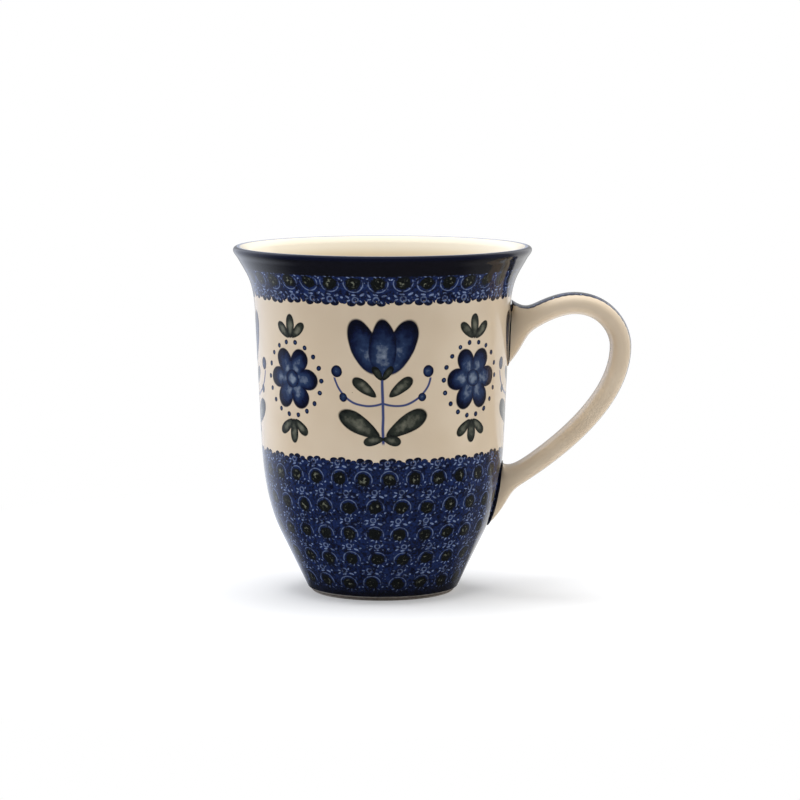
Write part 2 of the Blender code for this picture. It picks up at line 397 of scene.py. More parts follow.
UNDERSIDE = [
    corner(*GLAZE_EDGE),
    corner(GLAZE_EDGE[0] - FOOT_STEP, GLAZE_EDGE[1] - FOOT_STEP / 2),
    corner(FOOT_RADIUS, FOOT_CHAMFER),
    corner(FOOT_RADIUS - FOOT_CHAMFER, 0.0),
    corner(RING_INSIDE, 0.0),
    corner(RING_INSIDE - BASE_HOLLOW / 2, BASE_HOLLOW * 0.75),
    corner(RING_INSIDE - BASE_HOLLOW * 2, BASE_HOLLOW),
    corner(0.0, BASE_HOLLOW),
]
outline = draw_curve("outline", INSIDE + OUTSIDE + UNDERSIDE, OUTLINE_STEPS)
LIP_RUN = run_length(outline, len(INSIDE))
EDGE_RUN = run_length(outline, len(INSIDE + OUTSIDE))
OUTLINE_RUN = run_length(outline, len(INSIDE + OUTSIDE + UNDERSIDE) - 1)
print(f"outside from lip to glaze edge: {MM * (EDGE_RUN - LIP_RUN):.1f} mm along the wall")

# %% [markdown]
# ## Turning the pot
# The recipe turns the outline about the Z axis: each row of a flat grid takes its radius and height from
# one point of the outline, and each column takes its angle from its place along the grid. A Screw
# modifier could turn it too, but the tree can also write two maps while it knows how far along the wall
# a point lies. The map "decor" holds the share of a turn and the distance up the wall, which the painted
# bands follow. The map "OFBake" lays the outside out as one broad strip for baking.

# %% Build the wheel and turn the pot
TURNS = 192
# Share of the strip for baking that the plain inside and underside take together
PLAIN_SHARE = 0.25


def wheel_tree(settings):
    """Turn an outline about Z."""
    tree, inputs = new_tree("turn on the wheel", settings)
    drawn = add(tree, "GeometryNodeObjectInfo", {"Object": inputs["Outline"]})
    points = add(tree, "GeometryNodeResampleCurve", {"Curve": drawn.outputs["Geometry"]}, mode="EVALUATED")
    curve = points.outputs[0]
    size = add(tree, "GeometryNodeAttributeDomainSize", {"Geometry": curve}, component="CURVE")
    rows = Field(size.outputs["Point Count"])
    grid, turn, fall = flat_grid(tree, Field(inputs["Turns"]) + 1.0, rows)
    row = (fall * (rows - 1.0)).apply("ROUND")
    place = tree.nodes.new("GeometryNodeInputPosition").outputs[0]
    radius, _, height = parts_of(sampled(tree, curve, place, row, "FLOAT_VECTOR"))
    length = tree.nodes.new("GeometryNodeSplineParameter").outputs["Length"]
    run = Field(sampled(tree, curve, length, row, "FLOAT"))
    angle = turn * math.tau
    turned = vector(radius * angle.apply("COSINE"), radius * angle.apply("SINE"), height)

    edge, lip = Field(inputs["Edge Run"]), Field(inputs["Lip Run"])
    whole = Field(inputs["Whole Run"])
    mesh = store_map(tree, grid, "decor", turn, edge - run)
    on_face = add(tree, "GeometryNodeFieldOnDomain", {"Value": run}, domain="FACE")
    face_run = Field(on_face.outputs[0])
    outside = (edge - run) / (edge - lip) * (1.0 - PLAIN_SHARE) + PLAIN_SHARE
    inside = run / lip * (PLAIN_SHARE / 2)
    under = (run - edge) / (whole - edge) * (PLAIN_SHARE / 2) + PLAIN_SHARE / 2
    strip = blended(inside, blended(outside, under, face_run > edge), face_run > lip)
    mesh = store_map(tree, mesh, "OFBake", turn, strip)
    return finish_tree(tree, mesh, turned, inputs)


pot_glaze = bpy.data.materials.new("pot_glaze")
POT = {
    "Outline": outline,
    "Turns": TURNS,
    "Lip Run": LIP_RUN,
    "Edge Run": EDGE_RUN,
    "Whole Run": OUTLINE_RUN,
    "Finish": pot_glaze,
}
pot = grow("glazed_pot", wheel_tree(POT), POT)

# %% [markdown]
# ## Where the handle meets the wall
# The handle is pressed from a strap of clay and bent into an ear. Its ends must lie on the pot's own
# surface, so the wall is asked where it is: a ray is shot at the finished mesh from the handle's side.
# The path then runs from just inside the wall, over the crest, round the belly and back into the wall.

# %% Draw the handle's path
CREST, CREST_LEADS = (0.0666, 0.1000), (0.0085, 0.0102)
BELLY, BELLY_LEADS = (0.0825, 0.0850), (0.0068, 0.0248)
UPPER_LEAD, LOWER_LEAD = (0.0065, 0.0045), (0.0080, 0.0047)
UPPER_ROOT_Z, LOWER_ROOT_Z = 0.0885, 0.0343
ROOT_DEPTH = 0.0020
PATH_STEPS = 48
RAY_START = 2 * RIM_RADIUS

# Flare of each root: half height on the wall, length of its collar, distance over which it fades
FLARE_PARTS = ("Height", "Collar", "Reach")
FLARES = {
    "Upper Outer": (0.0092, 0.0048, 0.0038),
    "Upper Inner": (0.0115, 0.0000, 0.0041),
    "Lower Outer": (0.0128, 0.0004, 0.0033),
    "Lower Inner": (0.0092, 0.0000, 0.0064),
}

wall = BVHTree.FromPolygons([v.co for v in pot.data.vertices], [p.vertices for p in pot.data.polygons])


def wall_point(height):
    """The pot's outside at a height, on the handle's side."""
    return wall.ray_cast(Vector((RAY_START, 0.0, height)), Vector((-1.0, 0.0, 0.0)))[0]


def root_on_wall(middle_z, root):
    """Middle of a handle root on the wall, and the wall's upward direction there."""
    reach = min(FLARES[root + " Outer"][0], FLARES[root + " Inner"][0])
    low, high = wall_point(middle_z - reach), wall_point(middle_z + reach)
    return (low + high) / 2, (high - low).normalized()


UPPER_MIDDLE, UPPER_WAY = root_on_wall(UPPER_ROOT_Z, "Upper")
LOWER_MIDDLE, LOWER_WAY = root_on_wall(LOWER_ROOT_Z, "Lower")
EAR = [
    ((UPPER_MIDDLE.x - ROOT_DEPTH, UPPER_MIDDLE.z), UPPER_LEAD, 0.0, math.hypot(*UPPER_LEAD)),
    (CREST, (1, 0), *CREST_LEADS),
    (BELLY, (0, -1), *BELLY_LEADS),
    ((LOWER_MIDDLE.x - ROOT_DEPTH, LOWER_MIDDLE.z), down(LOWER_LEAD), math.hypot(*LOWER_LEAD), 0.0),
]
path = draw_curve("handle_path", EAR, PATH_STEPS)
STRAP_RUN = run_length(path, len(EAR) - 1)
print(f"strap: {MM * STRAP_RUN:.1f} mm long, roots at {UPPER_MIDDLE.z:.4f} and {LOWER_MIDDLE.z:.4f} m")

# %% [markdown]
# ## Bending the strap
# The strap's section is a rounded oblong, written as a superellipse: an ellipse whose power is above 2,
# so its sides go flat and its corners stay soft. A high power makes the back flat, and a low one keeps
# the finger side round. The section follows the path, thins downwards, swells near each root and turns
# there until it lies along the wall. Curve to Mesh could sweep a fixed section, but not one that flares
# differently above and below, so the recipe moves a grid by formula. The first and last rows shrink to a
# point inside the wall and close the ends.

# %% Build the strap recipe and bend the handle
ROOT_CROWDING = 0.45


def rounded_oblong(share, below, above):
    """A place round a superellipse, with one power for its lower half and one for its upper half."""
    angle = share.apply("FRACT") * math.tau
    cosine, sine = angle.apply("COSINE"), angle.apply("SINE")
    power = 2.0 / blended(below, above, sine > 0.0)
    return [part.apply("SIGN") * abs(part) ** power for part in (cosine, sine)]


def strap_tree(settings):
    """A strap of rounded section along a path, flared where it meets the wall."""
    tree, inputs = new_tree("bend the strap", settings)
    curve = add(tree, "GeometryNodeObjectInfo", {"Object": inputs["Path"]}).outputs["Geometry"]
    length = Field(add(tree, "GeometryNodeCurveLength", {"Curve": curve}).outputs[0])
    rings, around = Field(inputs["Rings"]), Field(inputs["Section Points"])
    grid, lengthwise, round_section = flat_grid(tree, rings, around + 1.0)
    ring = (lengthwise * (rings - 1.0)).apply("ROUND")
    share = smallest(largest((ring - 1.0) / (rings - 3.0), 0.0), 1.0)
    swollen = (ring > 0.5) * (ring < rings - 1.5)
    crowded = 0.5 - (share * math.pi).apply("COSINE") * 0.5
    run = blended(share, crowded, ROOT_CROWDING) * length
    on_path = add(tree, "GeometryNodeSampleCurve", {"Curves": curve, "Length": run}, mode="LENGTH")
    centre_x, _, centre_z = parts_of(on_path.outputs["Position"])
    along_x, _, along_z = parts_of(on_path.outputs["Tangent"])
    depth, turn_reach = Field(inputs["Root Depth"]), Field(inputs["Root Turn"])

    def fade(distance, collar, reach):
        """1 in a root and its collar, falling away along the strap."""
        beyond = largest(distance - depth - collar, 0.0) / reach
        return (beyond * beyond * -1.0).apply("EXPONENT")

    thickness = blended(Field(inputs["Upper Thickness"]), Field(inputs["Lower Thickness"]), run / length)
    half = thickness * 0.5
    ends = {"Upper": run, "Lower": length - run}

    def half_height(side):
        """Half the strap's thickness on one side, swollen by the flares of both roots."""
        total = half
        for root, distance in ends.items():
            height, collar, reach = (Field(inputs[f"{root} {side} {part}"]) for part in FLARE_PARTS)
            total = total + (height - half) * fade(distance, collar, reach)
        return total

    upper_turn, lower_turn = (fade(distance, 0.0, turn_reach) for distance in ends.values())
    half_width = Field(inputs["Width"]) * 0.5 - (upper_turn + lower_turn) * Field(inputs["Root Narrowing"])
    roundness = [Field(inputs[f"{side} Roundness"]) for side in ("Finger", "Back")]
    sideways, rise = (part * swollen for part in rounded_oblong(round_section, *roundness))
    height = rise * blended(half_height("Inner"), half_height("Outer"), rise > 0.0)

    upper_x, _, upper_z = parts_of(inputs["Upper Wall Way"])
    lower_x, _, lower_z = parts_of(inputs["Lower Wall Way"])
    free = (1.0 - upper_turn) * (1.0 - lower_turn)
    across_x = upper_x * upper_turn - lower_x * lower_turn - along_z * free
    across_z = upper_z * upper_turn - lower_z * lower_turn + along_x * free
    size = length_of(across_x, across_z)
    bent = vector(
        centre_x + across_x / size * height,
        sideways * half_width,
        centre_z + across_z / size * height,
    )
    mesh = store_map(tree, grid, "decor", run, round_section)
    mesh = store_map(tree, mesh, "OFBake", lengthwise, round_section)
    return finish_tree(tree, mesh, bent, inputs)


handle_glaze = bpy.data.materials.new("handle_glaze")
STRAP = {
    "Path": path,
    "Rings": 150,
    "Section Points": 56,
    "Upper Thickness": 0.0077,
    "Lower Thickness": 0.0068,
    "Width": 0.0150,
    "Back Roundness": 2.7,
    "Finger Roundness": 2.2,
    "Root Depth": ROOT_DEPTH,
    "Root Narrowing": 0.0008,
    "Root Turn": 0.0053,
    "Upper Wall Way": UPPER_WAY,
    "Lower Wall Way": LOWER_WAY,
    "Finish": handle_glaze,
}
for flare_name, flare_sizes in FLARES.items():
    for flare_part, flare_size in zip(FLARE_PARTS, flare_sizes):
        STRAP[f"{flare_name} {flare_part}"] = flare_size
strap = grow("glazed_handle", strap_tree(STRAP), STRAP)

# %% [markdown]
# ## The slip joints
# The handle is glued on with slip, which is clay thinned to a cream. It squeezes out into a low ring
# round each root, and the ring is painted with a line of cobalt. A ring has two round directions, so a
# grid does again: one side goes round the root, the other round the ring's own thickness. Every point
# then looks for the wall with a Raycast node and is lifted off it along the wall's normal, so the ring
# sits on the curved pot wherever it goes. The strap climbs as it leaves the wall, so each root stands a
# little higher on the surface than the end of its path does inside it.

# %% Build the ring recipe and lay both joints
UPPER_CLIMB = ROOT_DEPTH * UPPER_LEAD[1] / UPPER_LEAD[0]
LOWER_CLIMB = ROOT_DEPTH * LOWER_LEAD[1] / LOWER_LEAD[0]


def ring_tree(settings):
    """A ring of slip that lies on the pot's wall round a handle root."""
    tree, inputs = new_tree("lay the slip ring", settings)
    pot_wall = add(tree, "GeometryNodeObjectInfo", {"Object": inputs["Pot"]}).outputs["Geometry"]
    round_root, round_ring = Field(inputs["Round The Root"]), Field(inputs["Round The Ring"])
    mesh, root_share, ring_share = flat_grid(tree, round_root + 1.0, round_ring + 1.0)
    roundness = [Field(inputs[f"Roundness {side}"]) for side in ("Below", "Above")]
    sideways, rise = rounded_oblong(root_share, *roundness)
    turn = ring_share.apply("FRACT") * math.tau
    spread = turn.apply("COSINE") * Field(inputs["Half Spread"]) - Field(inputs["Tuck"])
    fullness = blended(1.0, abs(sideways), Field(inputs["Taper"]))
    lift = (turn.apply("SINE") * Field(inputs["Half Lift"]) + Field(inputs["Middle Lift"])) * fullness
    half_height = blended(Field(inputs["Below"]), Field(inputs["Above"]), rise > 0.0)
    y = sideways * (Field(inputs["Half Width"]) + spread)
    z = rise * (half_height + spread) + Field(inputs["Root Height"])
    ray = {"Target Geometry": pot_wall, "Source Position": vector(RAY_START, y, z), "Ray Length": RAY_START}
    hit = add(tree, "GeometryNodeRaycast", {**ray, "Ray Direction": (-1.0, 0.0, 0.0)})
    hit_x, hit_y, hit_z = parts_of(hit.outputs["Hit Position"])
    out_x, out_y, out_z = parts_of(hit.outputs["Hit Normal"])
    laid = vector(hit_x + out_x * lift, hit_y + out_y * lift, hit_z + out_z * lift)
    for name in ("decor", "OFBake"):
        mesh = store_map(tree, mesh, name, root_share, ring_share)
    return finish_tree(tree, mesh, laid, inputs)


joint_line = bpy.data.materials.new("joint_line")
UPPER_RING = {
    "Pot": pot,
    "Round The Root": 96,
    "Round The Ring": 20,
    "Roundness Above": STRAP["Back Roundness"],
    "Roundness Below": STRAP["Finger Roundness"],
    "Root Height": UPPER_MIDDLE.z + UPPER_CLIMB,
    "Above": FLARES["Upper Outer"][0],
    "Below": FLARES["Upper Inner"][0],
    "Half Width": STRAP["Width"] / 2 - STRAP["Root Narrowing"],
    "Half Spread": 0.0008,
    "Tuck": 0.0005,
    "Half Lift": 0.0006,
    "Middle Lift": 0.0004,
    "Taper": 0.65,
    "Finish": joint_line,
}
LOWER_RING = {
    **UPPER_RING,
    "Roundness Above": STRAP["Finger Roundness"],
    "Roundness Below": STRAP["Back Roundness"],
    "Root Height": LOWER_MIDDLE.z + LOWER_CLIMB,
    "Above": FLARES["Lower Inner"][0],
    "Below": FLARES["Lower Outer"][0],
}
ring_recipe = ring_tree(UPPER_RING)
joints = [
    grow("upper_joint_ring", ring_recipe, UPPER_RING),
    grow("lower_joint_ring", ring_recipe, LOWER_RING),
]

# %% [markdown]
# ## Measuring up the wall
# The decoration is dabbed on by hand in level rows, so the painter measures up the wall and not straight
# up. Heights read off the mug are turned into distances along the outline here, in millimetres, and the
# map "decor" gives the same distance at every point of the surface.

# %% Distances up the wall
outside_points = outline_points(outline, len(INSIDE), len(INSIDE + OUTSIDE))[::-1]


def on_wall(height):
    """Distance up the wall from the glaze edge, and radius, in millimetres, at a height outside."""
    run = 0.0
    for a, b in zip(outside_points, outside_points[1:]):
        step = (b - a).length
        if b.z >= height > a.z:
            share = (height - a.z) / (b.z - a.z)
            return (run + step * share) * MM, a.lerp(b, share).x * MM
        run += step
    return run * MM, outside_points[-1].x * MM


ROW_HEIGHTS = (0.0442, 0.0341, 0.0249, 0.0156, 0.0066)
UPPER_EYES, UPPER_RADIUS = on_wall(0.1107)
BAND_EDGE, _ = on_wall(0.1130)
LIP_CREASE, _ = on_wall(0.1182)
LIP_EDGE, _ = on_wall(HEIGHT)
FIRST_EYES, _ = on_wall(ROW_HEIGHTS[0])
FRIEZE_MIDDLE, FRIEZE_RADIUS = on_wall(0.0773)
print(f"frieze middle {FRIEZE_MIDDLE:.1f} mm up the wall, upper stamps {UPPER_EYES:.1f}, lip {LIP_EDGE:.1f}")

# %% [markdown]
# ## A painter's tools
# Underglaze painting is done in coats: a ground, then marks on top. A canvas keeps the colour so far, and
# each coat is a Mix node whose factor is a mask. A brush mark is an ellipse: a Mapping node moves the
# surface into the mark's own space, where the mark is a circle of radius 1, and the squared distance from
# its middle tells inside from outside and also how far the pigment has run to the rim.

# %% The canvas
def srgb(red, green, blue):
    """A colour as it looks on a screen, as the linear values that a shader takes."""
    values = [value / 255 for value in (red, green, blue)]
    return (*[v / 12.92 if v <= 0.04045 else ((v + 0.055) / 1.055) ** 2.4 for v in values], 1.0)


class Canvas:
    """A material being painted, coat over coat."""

    def __init__(self, material):
        material.use_nodes = True
        self.tree = material.node_tree
        self.shader = self.tree.nodes["Principled BSDF"]
        coordinates = self.tree.nodes.new("ShaderNodeTexCoord")
        self.place = coordinates.outputs["Object"]
        self.colour = None

    def coat(self, colour, cover):
        """Lay a colour over what is there, where the cover is 1."""
        values = {"Factor": cover, "A": self.colour, "B": colour}
        node = add(self.tree, "ShaderNodeMix", values, data_type="RGBA")
        self.colour = node.outputs[2]

    def map(self, name):
        """The two numbers of a UV map."""
        node = self.tree.nodes.new("ShaderNodeUVMap")
        node.uv_map = name
        return parts_of(node.outputs[0])[:2]

    def noise(self, scale, detail=2.0):
        """A cloudy texture between 0 and 1; scale is the number of clouds in a metre."""
        values = {"Vector": self.place, "Scale": scale, "Detail": detail}
        return Field(add(self.tree, "ShaderNodeTexNoise", values).outputs[0])

    def wash(self, tone, *colours):
        """A colour from a row of them, picked by a tone from 0 to 1."""
        node = self.tree.nodes.new("ShaderNodeValToRGB")
        connect(tone, node.inputs[0])
        stops = node.color_ramp.elements
        while len(stops) < len(colours):
            stops.new(0.5)
        for i, colour in enumerate(colours):
            stops[i].position = i / (len(colours) - 1)
            stops[i].color = colour
        return node.outputs[0]


print("a canvas can be coated")

# %% Brush marks and colours
def mark(x, y, middle_x, middle_y, degrees, half_length, half_width, taper=0.0):
    """Squared distance from the middle of a brush mark, 1 on its edge, and the place along it."""
    node = x.tree.nodes.new("ShaderNodeMapping")
    node.vector_type = "TEXTURE"
    connect(vector(x, y, 0.0), node.inputs["Vector"])
    node.inputs["Location"].default_value = (middle_x, middle_y, 0.0)
    node.inputs["Rotation"].default_value = (0.0, 0.0, math.radians(degrees))
    node.inputs["Scale"].default_value = (half_length, half_width, 1.0)
    along, across, _ = parts_of(node.outputs[0])
    if taper:
        across = across / (along * taper + 1.0)
    return along * along + across * across, along


MARK_EDGE, STAMPED_EDGE, BRUSHED_EDGE = (1.08, 0.88), (1.3, 0.5), (1.35, 0.6)


def filled(distance):
    """1 inside a brush mark, 0 outside."""
    return ramp(distance, *MARK_EDGE)


def line(distance, half_width, edge=BRUSHED_EDGE):
    """1 on a thin line, from the distance to its middle; the edge is outer and inner, in half widths."""
    return ramp(abs(distance), *(half_width * share for share in edge))


def distance_from(x, y, middle_x, middle_y):
    """Distance of a point from a fixed one."""
    return length_of(x - middle_x, y - middle_y)


def folded(x, y, count):
    """The same place in one of a number of equal slices round the origin, that slice lying along x."""
    radius = length_of(x, y)
    turn = calculate(x.tree, "ARCTAN2", y, x) / math.tau
    angle = ((turn * count + 0.5).apply("FRACT") - 0.5) * (math.tau / count)
    return radius * angle.apply("COSINE"), radius * angle.apply("SINE")


CREAM = srgb(210, 191, 165)
PALE_CREAM = srgb(219, 202, 178)
# Painted light and shade inside: paler cream under the lip, deeper cream further down
INSIDE_LIT_CREAM = srgb(232, 223, 204)
INSIDE_SHADED_CREAM = srgb(208, 192, 162)
NAVY = srgb(9, 13, 35)
COBALT = srgb(27, 43, 87)
SKY = srgb(118, 134, 168)
BLACK_BLUE = srgb(13, 13, 20)
print("colours and brushes are ready")

# %% [markdown]
# ## The stamped rows
# Each row is dabbed on with a cut sponge, one dab beside the next, so every row has its own number of
# dabs and starts where the painter happened to begin. A dab holds a dark eye under a pale arc, a few
# dashes, a small ring, and a fringe of lobes that shows where the row borders the bare ground. The rows
# on the base stand upright. The row under the rim is the same sponge turned upside down.

# %% One dab of the sponge
EYE_RADIUS, EYE_SOFT, EYE_RAGGED = 2.2, 0.3, 1.2
ARC_RADIUS, ARC_WIDTH, ARC_ENDS = 2.95, 0.19, (-1.3, -0.3)
RING_X, RING_Y, RING_RADIUS, RING_WIDTH = -0.2, 5.40, 0.85, 0.24
# Middle, degrees, half length and half width of each pale mark, in millimetres from the eye
PALE_MARKS = (
    (-0.5, 3.85, 10.0, 0.80, 0.30),
    (2.1, 3.95, -22.0, 0.85, 0.34),
    (-2.5, 4.25, 40.0, 0.70, 0.28),
    (3.6, 4.5, 10.0, 0.45, 0.34),
    (1.45, 6.00, 50.0, 0.50, 0.22),
    (-2.3, 5.40, -15.0, 0.60, 0.24),
    (3.4, -1.7, 40.0, 0.42, 0.26),
    (-3.4, -1.4, -30.0, 0.40, 0.26),
    (0.3, -2.75, 70.0, 0.65, 0.20),
    (-1.1, -2.25, 20.0, 0.55, 0.20),
    (1.9, -2.6, -35.0, 0.45, 0.20),
)
# Middle, half width and half height of each lobe of the fringe
LOBES = (
    (-1.45, 6.25, 1.45, 1.05),
    (1.35, 6.25, 1.45, 1.05),
    (3.75, 5.70, 1.05, 0.75),
    (-3.75, 5.65, 1.00, 0.70),
)
FRINGE_Y, FRINGE_SOFT = 5.8, 0.2
CAP_RISE, CAP_STRENGTH = (5.85, 6.55), 0.6
OLIVE_FLECK = srgb(104, 106, 92)
EYE_BLACK = srgb(15, 18, 18)
# Clouds or pores in a metre, and the tones between which each of them shows
FINE_GRAIN, COARSE_GRAIN, FLECK_GRAIN, PORE_GRAIN = 1250.0, 400.0, 900.0, 1000.0
MAIN_GRAIN, OTHER_GRAIN = 0.6, 0.4
GROUND_TONES, PALE_TONES = (0.36, 0.66), (0.34, 0.58)
FLECK_TONES, FLECK_REACH = (0.54, 0.68), (1.9, 0.8)
PORE_EDGE, PORE_CHANCE, PORE_STRENGTH = (0.34, 0.10), (0.45, 0.95), 0.42
LINE_STRENGTH = 0.65


def fringe(x, y):
    """1 on the dab, up to the ends of its lobes."""
    lobes = [filled(mark(x, y, *lobe[:2], 0.0, *lobe[2:])[0]) for lobe in LOBES]
    return largest(ramp(y, FRINGE_Y + FRINGE_SOFT, FRINGE_Y - FRINGE_SOFT), *lobes)


def sponge_pores(canvas):
    """Pale dots of many strengths, where the sponge's pores left little pigment."""
    pores = add(canvas.tree, "ShaderNodeTexVoronoi", {"Vector": canvas.place, "Scale": PORE_GRAIN})
    chance, _, _ = parts_of(pores.outputs["Color"])
    return ramp(Field(pores.outputs["Distance"]), *PORE_EDGE) * ramp(chance, *PORE_CHANCE) * PORE_STRENGTH


def dab(canvas, x, y, cover, caps=None):
    """Paint what one dab of the sponge leaves, inside a cover; caps darken the lobes along a border."""
    fine, coarse = canvas.noise(FINE_GRAIN, detail=3.0), canvas.noise(COARSE_GRAIN)
    ground = ramp(fine * MAIN_GRAIN + coarse * OTHER_GRAIN, *GROUND_TONES)
    canvas.coat(canvas.wash(ground, NAVY, COBALT), cover)
    canvas.coat(SKY, sponge_pores(canvas) * cover)
    if caps is not None:
        canvas.coat(BLACK_BLUE, ramp(y, *CAP_RISE) * caps * cover * CAP_STRENGTH)
    middle = length_of(x, y)
    eye = ramp(middle + (coarse - 0.5) * EYE_RAGGED, EYE_RADIUS + EYE_SOFT, EYE_RADIUS - EYE_SOFT)
    canvas.coat(EYE_BLACK, eye * cover)
    flecks = ramp(canvas.noise(FLECK_GRAIN), *FLECK_TONES) * ramp(middle, *FLECK_REACH)
    canvas.coat(OLIVE_FLECK, flecks * cover)
    arc = line(middle - ARC_RADIUS, ARC_WIDTH, STAMPED_EDGE) * ramp(y, *ARC_ENDS)
    ring = line(distance_from(x, y, RING_X, RING_Y) - RING_RADIUS, RING_WIDTH, STAMPED_EDGE)
    dashes = [filled(mark(x, y, *each)[0]) for each in PALE_MARKS]
    pale = largest(arc * LINE_STRENGTH, ring * LINE_STRENGTH, *dashes)
    canvas.coat(SKY, pale * ramp(coarse * MAIN_GRAIN + fine * OTHER_GRAIN, *PALE_TONES) * cover)


print("a dab has", len(PALE_MARKS) + 2, "pale marks and", len(LOBES), "lobes")

# %% Where the dabs fall
FRONT_TURN = 0.75
ROW_STEP = 10.05
DAB_TOP = 6.45
UPPER_DABS, UPPER_START = 36, -1.6
# Dabs round the mug in each lower row, and how far its nearest eye stands to the right of the front
LOWER_ROWS = ((30, 2.4), (28, -2.5), (27, -2.8), (24, -2.0), (21, -3.6))
DAB_SLIP, DAB_TILT = 0.6, 0.25
UPPER_STRETCH = 1.12


def start_of_row(count, start, radius):
    """Shift that puts the middle of a dab at a distance from the front."""
    return (0.5 - count * (FRONT_TURN + start / (math.tau * radius))) % 1.0


def by_row(row, values):
    """The value of a row, as a chain of steps."""
    total = values[0]
    for i, (before, after) in enumerate(zip(values, values[1:])):
        total = (row > i + 0.5) * (after - before) + total
    return total


def dab_places(turn, up, radius):
    """Place inside the nearest dab, with its eye at 0, 0, and the number of its row."""
    tree = turn.tree
    rows_down = ((FIRST_EYES + DAB_TOP - up) / ROW_STEP).apply("FLOOR")
    row = smallest(largest(rows_down, 0.0), len(LOWER_ROWS) - 1.0)
    upper = up > FRIEZE_MIDDLE
    starts = [start_of_row(*each, on_wall(z)[1]) for each, z in zip(LOWER_ROWS, ROW_HEIGHTS)]
    count = blended(by_row(row, [each[0] for each in LOWER_ROWS]), UPPER_DABS, upper)
    start = blended(by_row(row, starts), start_of_row(UPPER_DABS, UPPER_START, UPPER_RADIUS), upper)
    cell = turn * count + start
    chance = add(tree, "ShaderNodeTexWhiteNoise", {"Vector": vector(cell.apply("FLOOR"), row, upper)})
    slip_x, slip_y, tilt = parts_of(chance.outputs["Color"])
    x = (cell.apply("FRACT") - 0.5) * radius * math.tau / count + (slip_x - 0.5) * DAB_SLIP
    y = blended(up - (FIRST_EYES - row * ROW_STEP), UPPER_EYES - up, upper) + (slip_y - 0.5) * DAB_SLIP
    lean = (tilt - 0.5) * DAB_TILT
    stretch = blended(1.0, UPPER_STRETCH, upper)
    return (x + y * lean) / stretch, (y - x * lean) / stretch, row


print("dabs in the rows from the rim down:", UPPER_DABS, *[count for count, _ in LOWER_ROWS])

# %% [markdown]
# ## The painted frieze
# The pale band between the stamped rows is painted freehand. Two motifs take turns round the mug: an
# upright tulip sprig and a six-petalled rosette. Each is drawn once, in millimetres, and repeated by
# cutting the turn into equal parts. A sprig is the same left and right, so it is painted with the
# distance from its middle line. A slow noise moves every point a little first, so that no two motifs
# come out quite alike.

# %% Brushes for petals and leaves
PETAL_WASH = (srgb(138, 150, 166), srgb(38, 55, 88), srgb(14, 23, 54), srgb(8, 10, 27))
LEAF_WASH = (srgb(112, 112, 98), srgb(47, 51, 45), srgb(23, 27, 25), srgb(13, 16, 16))
STEM_BLUE = srgb(62, 72, 116)
EDGE_POOLING, STREAK_DEPTH = 0.62, 0.7


def brushed(canvas, colours, marks, streaks, darkness=0.12, pull=0.0):
    """Paint some brush marks in one wash: pale in the middle, dark where the pigment ran to the edge."""
    distance = smallest(*[each for each, _ in marks])
    tone = distance * EDGE_POOLING + darkness + (streaks - 0.5) * STREAK_DEPTH
    if pull:
        tone = tone + marks[0][1] * pull
    canvas.coat(canvas.wash(tone, *colours), filled(distance))


print("two washes of", len(PETAL_WASH), "and", len(LEAF_WASH), "tones")

# %% The tulip sprig
STEM_HALF_WIDTH, STEM_FOOT, STEM_TOP = 0.42, (-18.6, -17.6), (3.5, 2.5)
TENDRIL_MIDDLE, TENDRIL_RADIUS = (4.2, 3.5), 10.4
TENDRIL_HALF_WIDTH, TENDRIL_TOP = 0.34, (1.4, 0.8)
# Middle, degrees, half length, half width and taper of each brush mark, in millimetres
SPRIG_LEAVES = (
    (6.8, -12.4, 31.0, 7.0, 2.7, 0.35),
    (5.2, -1.5, 38.0, 4.3, 1.7, 0.30),
    (2.7, -17.0, -12.0, 2.9, 1.4, 0.25),
)
BERRIES = ((13.6, 3.0, 0.0, 1.75, 1.85), (11.6, -4.6, 0.0, 1.25, 1.3))
OUTER_PETAL = (5.3, 10.2, 66.0, 8.7, 4.0, 0.10)
INNER_PETAL = (0.0, 10.4, 90.0, 8.2, 4.0, -0.12)
SEPAL = (1.5, 2.6, 55.0, 2.4, 1.1, 0.2)


def tulip_sprig(canvas, x, y, streaks):
    """A tulip on a straight stem, with leaves and berries on both sides."""
    side = abs(x)
    stem = line(side, STEM_HALF_WIDTH) * ramp(y, *STEM_FOOT) * ramp(y, *STEM_TOP)
    curl = distance_from(side, y, *TENDRIL_MIDDLE) - TENDRIL_RADIUS
    tendril = line(curl, TENDRIL_HALF_WIDTH) * ramp(y, *TENDRIL_TOP)
    canvas.coat(STEM_BLUE, largest(stem, tendril))
    brushed(canvas, LEAF_WASH, [mark(side, y, *leaf) for leaf in SPRIG_LEAVES], streaks)
    brushed(canvas, PETAL_WASH, [mark(side, y, *berry) for berry in BERRIES], streaks, darkness=0.30)
    brushed(canvas, PETAL_WASH, [mark(side, y, *OUTER_PETAL)], streaks, darkness=0.34, pull=0.30)
    brushed(canvas, PETAL_WASH, [mark(x, y, *INNER_PETAL)], streaks, darkness=0.26, pull=0.34)
    brushed(canvas, LEAF_WASH, [mark(side, y, *SEPAL)], streaks, darkness=0.3)


print("a sprig has", 2 * len(SPRIG_LEAVES), "leaves and", 2 * len(BERRIES), "berries")

# %% The rosette and the frieze
SPRAY_LEAVES = ((0.0, 15.4, 90.0, 3.6, 1.6, 0.25), (2.9, 14.2, 42.0, 3.3, 1.45, 0.25))
ROSETTE_DOTS, ROSETTE_DOT = 18, (10.8, 0.0, 0.0, 0.75, 0.75)
ROSETTE_PETALS, ROSETTE_PETAL = 6, (5.3, 0.0, 0.0, 4.4, 3.1, 0.2)
ROSETTE_HEART = (0.0, 0.0, 0.0, 2.6, 2.6)


